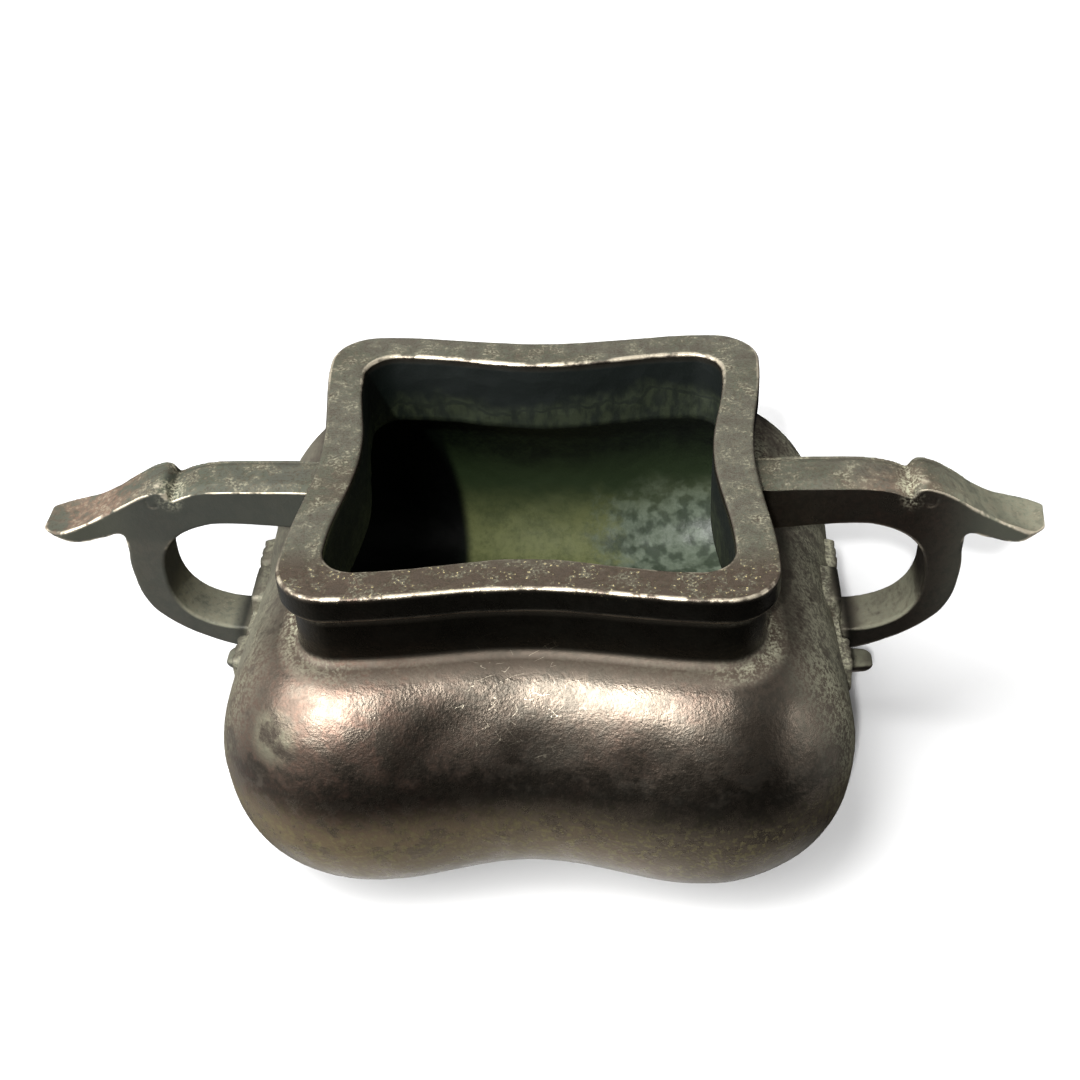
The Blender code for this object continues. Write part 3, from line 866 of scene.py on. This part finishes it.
class Graph:
    """Adds shader nodes to a material or a world and links them."""

    def __init__(self, owner, shader="Principled BSDF"):
        owner.use_nodes = True
        self.tree = owner.node_tree
        self.shader = self.tree.nodes[shader]

    def put(self, socket, value):
        if isinstance(value, bpy.types.NodeSocket):
            self.tree.links.new(value, socket)
        else:
            socket.default_value = value

    def give(self, name, value):
        """Puts a value or a link into an input of the shader."""
        self.put(self.shader.inputs[name], value)

    def add(self, kind, inputs=None, **settings):
        """A node with its settings, and with values or links put into its inputs."""
        node = self.tree.nodes.new("ShaderNode" + kind)
        for name, value in settings.items():
            setattr(node, name, value)
        for key, value in (inputs or {}).items():
            self.put(node.inputs[key], value)
        return node

    def math(self, operation, a, b=0.0):
        return self.add("Math", {0: a, 1: b}, operation=operation).outputs[0]

    def folded(self, operation, values):
        """One value made of several; a tuple among them stands for what rise makes of it."""
        values = [self.rise(*value) if isinstance(value, tuple) else value for value in values]
        result = values[0]
        for value in values[1:]:
            result = self.math(operation, result, value)
        return result

    def plus(self, *values):
        return self.folded("ADD", values)

    def times(self, *values):
        return self.folded("MULTIPLY", values)

    def most(self, *values):
        return self.folded("MAXIMUM", values)

    def weighed(self, *parts):
        """The sum of values, each times its own weight."""
        return self.plus(*[self.times(value, weight) for value, weight in parts])

    def parts(self, vector):
        """The X, Y and Z of a vector."""
        return self.add("SeparateXYZ", {0: vector}).outputs

    def rise(self, value, low, high, start=0.0, end=1.0):
        """A smooth step from start to end as a value goes from low to high, or down to it."""
        inputs = dict(enumerate((value, low, high, start, end)))
        return self.add("MapRange", inputs, interpolation_type="SMOOTHSTEP").outputs[0]

    def near(self, value, middle, far, close, start=0.0, end=1.0):
        """A smooth step from start to end as a value comes from far to close to a middle."""
        away = self.math("ABSOLUTE", self.math("SUBTRACT", value, middle))
        return self.rise(away, far, close, start, end)

    def wavy(self, value, noise, reach):
        """A coordinate shifted by a noise, so that what it bounds gets an uneven edge."""
        return self.plus(value, self.times(self.math("SUBTRACT", noise, 0.5), reach))

    def blend(self, share, a, b):
        """A colour between two colours."""
        return self.add("Mix", {0: share, 6: a, 7: b}, data_type="RGBA").outputs[2]

    def level(self, share, a, b):
        """A number between two numbers."""
        return self.add("Mix", {0: share, 2: a, 3: b}, data_type="FLOAT").outputs[0]

    def mark(self, name):
        return self.add("Attribute", attribute_name=name).outputs["Fac"]

    def stretched(self, place, scale, turn=(0.0, 0.0, 0.0)):
        return self.add("Mapping", {"Vector": place, "Rotation": turn, "Scale": scale}).outputs[0]

    def noise(self, place, size, detail=4.0, roughness=0.5, distortion=0.0):
        """Noise from about 0.3 to 0.7 whose blotches are of a size in metres."""
        inputs = {"Vector": place, "Scale": 1 / size, "Detail": detail}
        inputs.update({"Roughness": roughness, "Distortion": distortion})
        return self.add("TexNoise", inputs).outputs["Fac"]

    def cells(self, place, size):
        """Cells of a size in metres, 0 at their middles and rising towards their borders."""
        node = self.add("TexVoronoi", {"Vector": place, "Scale": 1 / size}, feature="F1")
        return node.outputs["Distance"]

    def spot(self, place, centre, radius):
        """1 round a point, falling to 0 at a radius from it."""
        node = self.add("VectorMath", {0: place, 1: centre}, operation="DISTANCE")
        return self.rise(node.outputs["Value"], radius, radius * 0.3)


def rgb(red, green, blue):
    """A colour in the shader's own scale from its values on a screen, 0 to 255."""
    values = [channel / 255 for channel in (red, green, blue)]
    linear = [v / 12.92 if v <= 0.04045 else ((v + 0.055) / 1.055) ** 2.4 for v in values]
    return (*linear, 1.0)


DARK_BROWN = rgb(112, 102, 91)
RED_BROWN = rgb(128, 94, 80)
BLACK_BROWN = rgb(78, 76, 69)
KHAKI = rgb(128, 120, 84)
LOW_BROWN = rgb(112, 98, 74)
# Black for painted shade: shaded faces and dark reflections on the front
SHADE_BLACK = rgb(37, 37, 32)
ARM_FILM = rgb(60, 64, 59)
GREY_DUST = rgb(86, 87, 76)
GREEN_DUST = rgb(77, 83, 69)
BROWN_DUST = rgb(52, 37, 23)
FRONT_STAIN = rgb(38, 34, 24)
PATCH_BROWN = rgb(66, 56, 46)
TIP_RED = rgb(112, 88, 74)
PALE_DEPOSIT = rgb(172, 170, 146)
GOLD_SPECK = rgb(196, 178, 128)
WORN_BRONZE = rgb(226, 214, 190)
WALL_BLACK = rgb(12, 18, 16)
WALL_BROWN = rgb(45, 51, 36)
# Black for painted shadow inside the bowl
PAINTED_BOWL_SHADOW = rgb(8, 13, 8)
BOWL_GREEN = rgb(36, 47, 27)
BOWL_OLIVE = rgb(100, 104, 67)
# Blue-grey hammered metal with a painted sheen, low on the right of the bowl
BOWL_BLUE_PAINTED_SHEEN = rgb(108, 118, 102)
BOWL_GREY_PAINTED_SHEEN = rgb(66, 75, 62)
FLOOR_GREY = (0.76, 0.76, 0.76, 1.0)
WHITE = (1.0, 1.0, 1.0, 1.0)

# Middles of single spots of the patina
RED_SHOULDER = (-0.036, -0.046, 0.034)
RED_RIGHT_ARM = (0.068, -0.005, 0.057)
RED_LEFT_TIP = (-0.090, -0.002, 0.056)
RED_RIGHT_CREST = (0.070, -0.006, 0.060)
PALE_SPOT = (-0.048, -0.050, 0.043)
SCRATCHED = (-0.002, -0.048, 0.049)


class Patina(Graph):
    """The patina's graph, with what it reads of a point: its place, marks and noises."""

    def __init__(self, material):
        super().__init__(material)
        self.point = self.add("TexCoord").outputs["Object"]
        self.x, self.y, self.z = self.parts(self.point)
        self.out = self.math("ABSOLUTE", self.x)
        self.up = self.parts(self.add("NewGeometry").outputs["Normal"])[2]
        self.front = self.rise(self.y, -0.030, -0.040)
        self.front_rim = self.rise(self.y, -0.028, -0.037)
        self.edge = self.mark("edge")
        self.crevice = self.mark("crevice")
        self.inside = self.mark("inside")
        self.arm = self.mark("arm")
        self.off_arm = self.level(self.arm, 1.0, 0.0)
        self.blotch = self.noise(self.point, 0.022, 4.0, 0.6, 0.4)
        self.mottle = self.noise(self.point, 0.0045, 4.0, 0.65)
        self.fine = self.noise(self.point, 0.0012, 3.0, 0.7)
        self.grain = self.noise(self.point, 0.0006, 2.0, 0.6)
        self.speckled = self.weighed((self.mottle, 0.3), (self.fine, 0.35), (self.grain, 0.35))


def bare_metal(at):
    """Dark brown bronze and how dull it is: redder on the left shoulder, painted shade in black."""
    colour = at.blend(red_amount(at), DARK_BROWN, RED_BROWN)
    broken = at.weighed((at.mottle, 0.55), (at.fine, 0.45))
    colour = at.blend(at.rise(broken, 0.44, 0.58, 0.0, 0.55), colour, BLACK_BROWN)
    # Painted shade: black on the upright faces of the neck, the rim and the right handle
    colour = at.blend(painted_shade_walls(at), colour, SHADE_BLACK)
    # Painted shade over the front: a dark reflected arc and a black band round the belly
    painted_dark = at.most(painted_dark_reflection(at), painted_shade_band(at))
    painted_dark = at.times(painted_dark, at.front, (broken, 0.36, 0.50, 0.5, 1.0))
    colour = at.blend(painted_dark, colour, SHADE_BLACK)
    low_front = at.times((at.z, 0.034, 0.022), (at.y, -0.020, -0.035))
    speckle = at.times(low_front, (at.fine, 0.50, 0.60), 0.6)
    # A dull brown patina low on the front, spread further to the left as a painted light there
    painted_left_light = at.rise(at.x, 0.04, -0.04, 0.45, 1.0)
    low_patina_and_painted_light = at.times(low_front, (at.mottle, 0.30, 0.62, 0.45, 0.9), painted_left_light)
    colour = at.blend(low_patina_and_painted_light, colour, LOW_BROWN)
    return at.blend(speckle, colour, KHAKI), at.most(speckle, low_patina_and_painted_light)


def red_amount(at):
    """Redder bronze in broad blotches, on the left shoulder and on the right arm."""
    shoulder = at.spot(at.point, RED_SHOULDER, 0.040)
    arm = at.spot(at.point, RED_RIGHT_ARM, 0.020)
    broad = at.rise(at.blotch, 0.52, 0.68, 0.0, 0.5)
    red = at.plus(broad, at.times(shoulder, 0.7), at.times(arm, 0.6))
    return at.times(red, (at.mottle, 0.38, 0.60), 0.7)


def painted_shade_walls(at):
    """Painted shade in black on the upright faces of the neck, the rim and the right handle."""
    upright = at.rise(at.math("ABSOLUTE", at.up), 0.6, 0.25)
    upright = at.times(upright, at.level(at.arm, 0.85, 0.5))
    neck = at.times((at.z, 0.0525, 0.0550), (at.z, 0.0716, 0.0706))
    on_right = at.rise(at.x, -0.02, 0.02)
    right_handle = at.times(at.arm, on_right, (at.out, 0.100, 0.080, 0.3, 1.0))
    return at.times(upright, at.most(neck, right_handle))


def painted_dark_reflection(at):
    """A painted dark reflection: an arc over the front shoulder, between its two polished patches."""
    x = at.math("SUBTRACT", at.x, 0.0025)
    z = at.math("SUBTRACT", at.z, 0.0118)
    away = at.math("SQRT", at.plus(at.times(x, x), at.times(z, z)))
    line = at.near(away, 0.0397, 0.0048, 0.0008)
    return at.times(line, (at.x, 0.002, -0.010), (at.x, -0.030, -0.024), 0.6)


def painted_shade_band(at):
    """Painted shade: an uneven black band round the widest part of the front."""
    return at.near(at.wavy(at.z, at.mottle, 0.026), 0.034, 0.0060, 0.0015, 0.0, 0.5)


def arm_film_and_painted_light(at):
    """The dull grey film on the handles, thick on both tips, and thick on the left one as a painted
    light.
    """
    painted_left_light = at.rise(at.x, 0.02, -0.02, 0.08, 1.0)
    amount = at.level(at.rise(at.out, 0.074, 0.092), painted_left_light, 0.9)
    return at.times(at.arm, amount, 0.8)


def dust_amount(at):
    """Dust on what faces up: the rim, the arms and the hollows beside the handles."""
    above_neck = at.rise(at.z, 0.060, 0.064)
    high = at.times(above_neck, (at.up, 0.45, 0.95))
    leaning = at.rise(at.up, -0.50, 0.15)
    flank = at.times((at.out, 0.044, 0.058), (at.y, -0.052, -0.036))
    beside = at.times(flank, leaning, at.off_arm, 0.9)
    clear = at.most((at.out, 0.064, 0.068), (at.z, 0.048, 0.050))
    on_arm = at.times(at.arm, clear, (at.up, 0.05, 0.5))
    amount = at.most(high, beside, on_arm)
    amount = at.times(amount, at.level(at.times(at.front_rim, above_neck), 1.0, 0.8))
    return at.times(amount, (at.fine, 0.30, 0.56, 0.5, 1.0), (at.mottle, 0.32, 0.52, 0.6, 1.0))


def dust_colour(at):
    """Grey-green dust, brown along the front of the rim and stained, with reddish tips."""
    colour = at.blend(at.rise(at.blotch, 0.4, 0.6), GREY_DUST, GREEN_DUST)
    colour = at.blend(at.front_rim, colour, BROWN_DUST)
    broad = at.rise(at.plus(at.blotch, at.mottle), 1.02, 1.14)
    patches = at.times((at.z, 0.040, 0.046), broad, 0.6)
    colour = at.blend(patches, colour, PATCH_BROWN)
    stain = at.blend(at.front_rim, PATCH_BROWN, FRONT_STAIN)
    colour = at.blend(at.rise(at.speckled, 0.46, 0.55, 0.0, 0.65), colour, stain)
    crest = at.times(at.spot(at.point, RED_RIGHT_CREST, 0.014), 0.7)
    red = at.most(at.spot(at.point, RED_LEFT_TIP, 0.018), crest)
    colour = at.blend(at.times(red, at.rise(at.mottle, 0.36, 0.54), 0.9), colour, TIP_RED)
    return at.blend(pale_dust_and_painted_light(at), colour, PALE_DEPOSIT)


def pale_dust_and_painted_light(at):
    """How pale the dust is: on the flanks, more on the right as a painted reflection, on the right
    tip, and on the lower arms as a painted light.
    """
    grains = at.times((at.grain, 0.36, 0.74), (at.mottle, 0.44, 0.64), 0.55)
    # Pale dust on the flanks, raised on the right flank as a painted reflection
    flank = at.times((at.out, 0.038, 0.048), (at.z, 0.060, 0.056), at.off_arm)
    flank = at.times(flank, (at.x, -0.02, 0.02, 0.45, 1.0), (at.speckled, 0.42, 0.58, 0.15, 0.85))
    right_tip = at.times(at.arm, (at.x, 0.076, 0.086), 0.35)
    # Painted light: paler dust on the tops of the lower arms, which lie in shade
    painted_light_on_lower_arm = at.times(at.arm, (at.z, 0.046, 0.042), 0.35)
    return at.most(grains, flank, right_tip, painted_light_on_lower_arm)


def scratches(at):
    """Fine bright scratches over the middle of the front shoulder."""
    lines = 0.0
    for turn in (0.5, -0.9):
        turned = at.stretched(at.point, (1.0, 1.0, 1.0), (0.0, turn, 0.0))
        along = at.noise(at.stretched(turned, (0.1, 1.0, 1.0)), 0.0030, 1.0)
        lines = at.most(at.near(along, 0.5, 0.006, 0.002), lines)
    patchy = at.rise(at.noise(at.point, 0.003, 2.0), 0.50, 0.58)
    return at.times(lines, at.spot(at.point, SCRATCHED, 0.016), patchy, 0.7)


def gold_specks(at):
    """Small bright specks along the front of the rim's top."""
    on_top = at.times(at.front_rim, (at.z, 0.070, 0.0715))
    return at.times(on_top, (at.grain, 0.63, 0.70), (at.mottle, 0.44, 0.56))


def groove_place(side):
    """The middle of the pale front half of the groove before a handle's crest."""
    x, z = placed(GROOVE)
    return side * x, -HANDLE_THICKNESS / 4, z


def settled_deposit(at):
    """Pale deposit in the crevices, least in the middle of the front, and in the grooves."""
    grooves = at.most(*[at.spot(at.point, groove_place(side), 0.0045) for side in (1, -1)])
    outward = at.rise(at.out, 0.030, 0.046, 0.10, 1.0)
    thin = at.times(at.crevice, outward, (at.blotch, 0.38, 0.60, 0.3, 0.9))
    grainy = at.rise(at.plus(at.grain, at.times(at.mottle, 0.7)), 0.72, 1.04)
    return at.times(at.most(thin, grooves), grainy)


def worn_edges(at):
    """Bright edges where it is rubbed: the rim's front, the mouth's back and the handles."""
    patchy = at.rise(at.noise(at.point, 0.005, 3.0, 0.7), 0.40, 0.56)
    past_crest = at.rise(at.out, 0.074, 0.078)
    tip_top = at.times((at.z, 0.051, 0.053), past_crest)
    high = at.most((at.z, 0.060, 0.062), (at.out, 0.084, 0.088), tip_top)
    left_or_tip = at.most((at.x, 0.0, -0.01), past_crest)
    handles = at.times(at.arm, (at.y, 0.000, -0.004), high, left_or_tip)
    lip = at.times((at.z, 0.0695, 0.0705), (at.y, 0.041, 0.039))
    mouth_back = at.times(lip, (at.y, 0.020, 0.030))
    return at.times(at.edge, patchy, at.most(at.front, handles, mouth_back))


def bowl_colour(at, uneven):
    """Painted shadow in black up high and on the left, olive below, blue-grey at the right with a
    painted sheen; also where the blue-grey lies.
    """
    # Painted shadow: black high up under the shoulder, turning lighter below
    colour = at.blend(at.rise(uneven, 0.040, 0.026), PAINTED_BOWL_SHADOW, BOWL_GREEN)
    colour = at.blend(at.rise(uneven, 0.026, 0.010), colour, BOWL_OLIVE)
    # Painted reflection: a blue-grey sheen over hammered metal low on the right
    rightward = at.rise(at.wavy(at.x, at.mottle, 0.030), 0.008, 0.020)
    blue = at.times(rightward, (uneven, 0.026, 0.014))
    beaten = at.rise(at.noise(at.point, 0.0030, 2.0), 0.40, 0.60)
    colour = at.blend(blue, colour, at.blend(beaten, BOWL_GREY_PAINTED_SHEEN, BOWL_BLUE_PAINTED_SHEEN))
    stain = at.rise(at.weighed((at.mottle, 0.6), (at.fine, 0.4)), 0.40, 0.64, 0.0, 0.4)
    colour = at.blend(stain, colour, BOWL_GREEN)
    # Painted shadow: black over the left of the bowl, where the rim blocks the light
    across = at.plus(at.x, at.times(at.z, 0.15))
    return at.blend(at.rise(across, -0.0186, -0.0214), colour, PAINTED_BOWL_SHADOW), blue


def inside_colour(at):
    """A dark, streaked neck wall with a seam over the bowl; also where the bowl is blue-grey with a
    painted sheen.
    """
    uneven = at.wavy(at.z, at.blotch, 0.018)
    bowl, blue = bowl_colour(at, uneven)
    wall = at.blend(at.rise(uneven, 0.060, 0.064), WALL_BROWN, WALL_BLACK)
    seam = at.near(uneven, 0.0605, 0.0009, 0.0002, 0.0, 0.7)
    upright = at.noise(at.stretched(at.point, (1.0, 1.0, 0.4)), 0.0020, 3.0)
    streak = at.rise(upright, 0.36, 0.66, 0.1, 0.8)
    wall = at.blend(at.most(streak, seam), wall, WALL_BLACK)
    return at.blend(at.rise(at.z, 0.051, 0.053), bowl, wall), blue


def roughen(at):
    """Fine bumps of the casting's skin, and hammer marks inside."""
    hammered = at.times(at.inside, at.cells(at.point, 0.0042), 1.2)
    skin = at.weighed((at.mottle, 0.14), (at.fine, 0.26), (at.grain, 0.20))
    inputs = {"Height": at.plus(skin, hammered), "Strength": 0.42, "Distance": 0.0004}
    at.give("Normal", at.add("Bump", inputs).outputs[0])


def patina():
    """Bronze patina for every piece, told apart by the marks on the mesh."""
    material = bpy.data.materials.new("bronze_patina")
    at = Patina(material)

    colour, dull = bare_metal(at)
    # Grey film on the handles, partly a painted light that makes the left handle paler
    film_and_painted_light = arm_film_and_painted_light(at)
    colour = at.blend(film_and_painted_light, colour, ARM_FILM)
    tips = at.times(at.arm, (at.out, 0.080, 0.090), 0.6)
    colour = at.blend(tips, colour, GREY_DUST)
    # Painted shadow: shade black on the mask under each arm's root
    mask = at.times(at.arm, (at.out, 0.067, 0.064), (at.z, 0.050, 0.046), 0.7)
    colour = at.blend(mask, colour, SHADE_BLACK)
    dust = dust_amount(at)
    colour = at.blend(dust, colour, dust_colour(at))
    pale_spot = at.spot(at.point, PALE_SPOT, 0.007)
    pale_spot = at.times(pale_spot, (at.mottle, 0.36, 0.56), 0.6)
    colour = at.blend(pale_spot, colour, PALE_DEPOSIT)
    lined = at.times(at.crevice, 0.8)
    colour = at.blend(lined, colour, PATCH_BROWN)
    colour = at.blend(scratches(at), colour, WORN_BRONZE)
    colour = at.blend(gold_specks(at), colour, GOLD_SPECK)
    deposit = settled_deposit(at)
    colour = at.blend(deposit, colour, PALE_DEPOSIT)
    worn = worn_edges(at)
    colour = at.blend(worn, colour, WORN_BRONZE)
    # The inside, with painted shadow and a painted blue-grey sheen in the bowl
    inner, blue = inside_colour(at)
    at.give("Base Color", at.blend(at.inside, colour, inner))

    metal = at.level(dull, 0.96, 0.2)
    rough = at.rise(at.mottle, 0.3, 0.7, 0.25, 0.34)
    for share, metal_there, rough_there in (
        (film_and_painted_light, 0.0, 0.55),
        (at.most(dust, lined), 0.0, 0.75),
        (deposit, 0.0, 0.9),
        (worn, 0.8, 0.35),
        (at.inside, 0.0, at.level(blue, 0.6, 0.42)),
    ):
        metal = at.level(share, metal, metal_there)
        rough = at.level(share, rough, rough_there)
    at.give("Metallic", metal)
    at.give("Roughness", rough)
    at.give("Specular IOR Level", at.level(blue, 0.2, 0.45))
    roughen(at)
    return material


def floor_material():
    material = bpy.data.materials.new("floor_white")
    graph = Graph(material)
    graph.give("Base Color", FLOOR_GREY)
    graph.give("Roughness", 0.9)
    graph.give("Specular IOR Level", 0.1)
    return material


# Surroundings

def floor():
    """A wide floor that takes the object's shadow and throws no light back on it."""
    shape = bmesh.new()
    bmesh.ops.create_grid(shape, x_segments=1, y_segments=1, size=FLOOR_HALF_WIDTH)
    mesh = mesh_of(shape, "floor")
    mesh.materials.append(floor_material())
    obj = new_object("floor", mesh)
    obj.visible_glossy = False
    obj.visible_diffuse = False


def direction(azimuth, elevation):
    """The way towards a point seen from the object at angles in degrees; azimuth 0 is the front."""
    around, over = math.radians(azimuth), math.radians(elevation)
    x, y = math.sin(around) * math.cos(over), -math.cos(around) * math.cos(over)
    return Vector((x, y, math.sin(over)))


def lamp(name, light, azimuth, elevation):
    """A light a metre away from the object that shines on it."""
    way = direction(azimuth, elevation)
    obj = new_object(name, light)
    obj.location = way
    obj.rotation_euler = (-way).to_track_quat("-Z", "Y").to_euler()
    return obj


def sun(name, azimuth, elevation, angle, strength):
    light = bpy.data.lights.new(name, "SUN")
    light.energy = strength
    light.angle = math.radians(angle)
    return lamp(name, light, azimuth, elevation)


def panel(name, azimuth, elevation, width, height, radiance):
    """A soft panel, its width and height in degrees as the object sees them."""
    light = bpy.data.lights.new(name, "AREA")
    light.shape = "RECTANGLE"
    light.size, light.size_y = [2 * math.tan(math.radians(angle) / 2) for angle in (width, height)]
    light.energy = radiance * math.pi * light.size * light.size_y
    return lamp(name, light, azimuth, elevation)


def sky():
    """A room that is even for soft light, and uneven where the polished metal mirrors it."""
    world = bpy.data.worlds.new("studio")
    graph = Graph(world, "Background")
    x, y, z = graph.parts(graph.add("TexCoord").outputs["Generated"])
    above_floor = graph.rise(z, -0.05, 0.1)
    ahead = graph.rise(y, -0.2, -0.7, 1.0, 0.3)
    soft = graph.times(above_floor, ahead, graph.rise(x, 0.9, -0.9, 0.30, 0.50))
    above = graph.times(graph.rise(z, 0.3, 0.95, 0.05, 0.35), above_floor)
    below = graph.times(graph.rise(z, -0.80, -0.96, 0.01, 1.0), graph.rise(x, 0.15, -0.15, 0.55, 1.2))
    left = graph.rise(x, -0.25, -0.9, 0.0, 0.45)
    right = graph.rise(x, 0.70, 0.95, 0.0, 0.45)
    glossy = graph.add("LightPath").outputs["Is Glossy Ray"]
    graph.give("Color", WHITE)
    graph.give("Strength", graph.level(glossy, soft, graph.plus(above, below, left, right)))
    bpy.context.scene.world = world


def studio():
    """Two suns and a panel that light the object, and three sheens that it only mirrors."""
    sky()
    for light in (sun("key", -12, 41, 2.5, 2.6), sun("overhead", -74, 70, 30, 2.1)):
        light.visible_glossy = False
    panel("left_panel", -52, 38, 42, 44, 4.5)
    for sheen in (
        panel("left_sheen", -52, 38, 40, 42, 10.5),
        panel("front_sheen", -22, 42, 23, 34, 13.0),
        panel("right_sheen", 76, 6, 14, 16, 2.2),
    ):
        sheen.visible_diffuse = False
    bpy.context.scene.view_settings.view_transform = "Standard"


def camera():
    """The photograph's camera: from the front, 39 degrees above the floor, tilted a little."""
    forward = Vector(CAMERA_FORWARD).normalized()
    level = Vector(CAMERA_LEVEL).normalized()
    rise = level.cross(forward)
    right = math.cos(CAMERA_ROLL) * level - math.sin(CAMERA_ROLL) * rise
    up = math.sin(CAMERA_ROLL) * level + math.cos(CAMERA_ROLL) * rise
    data = bpy.data.cameras.new("camera")
    data.lens = CAMERA_LENS
    data.sensor_width = CAMERA_SENSOR
    data.clip_start = 0.01
    obj = new_object("camera", data)
    matrix = Matrix((right, up, -forward)).transposed().to_4x4()
    matrix.translation = Vector((0.0, 0.0, CAMERA_AIM_HEIGHT)) - forward * CAMERA_DISTANCE
    obj.matrix_world = matrix
    bpy.context.scene.camera = obj


PATINA = patina()
vessel()
handle("right_handle", 1)
handle("left_handle", -1)
floor()
studio()
camera()
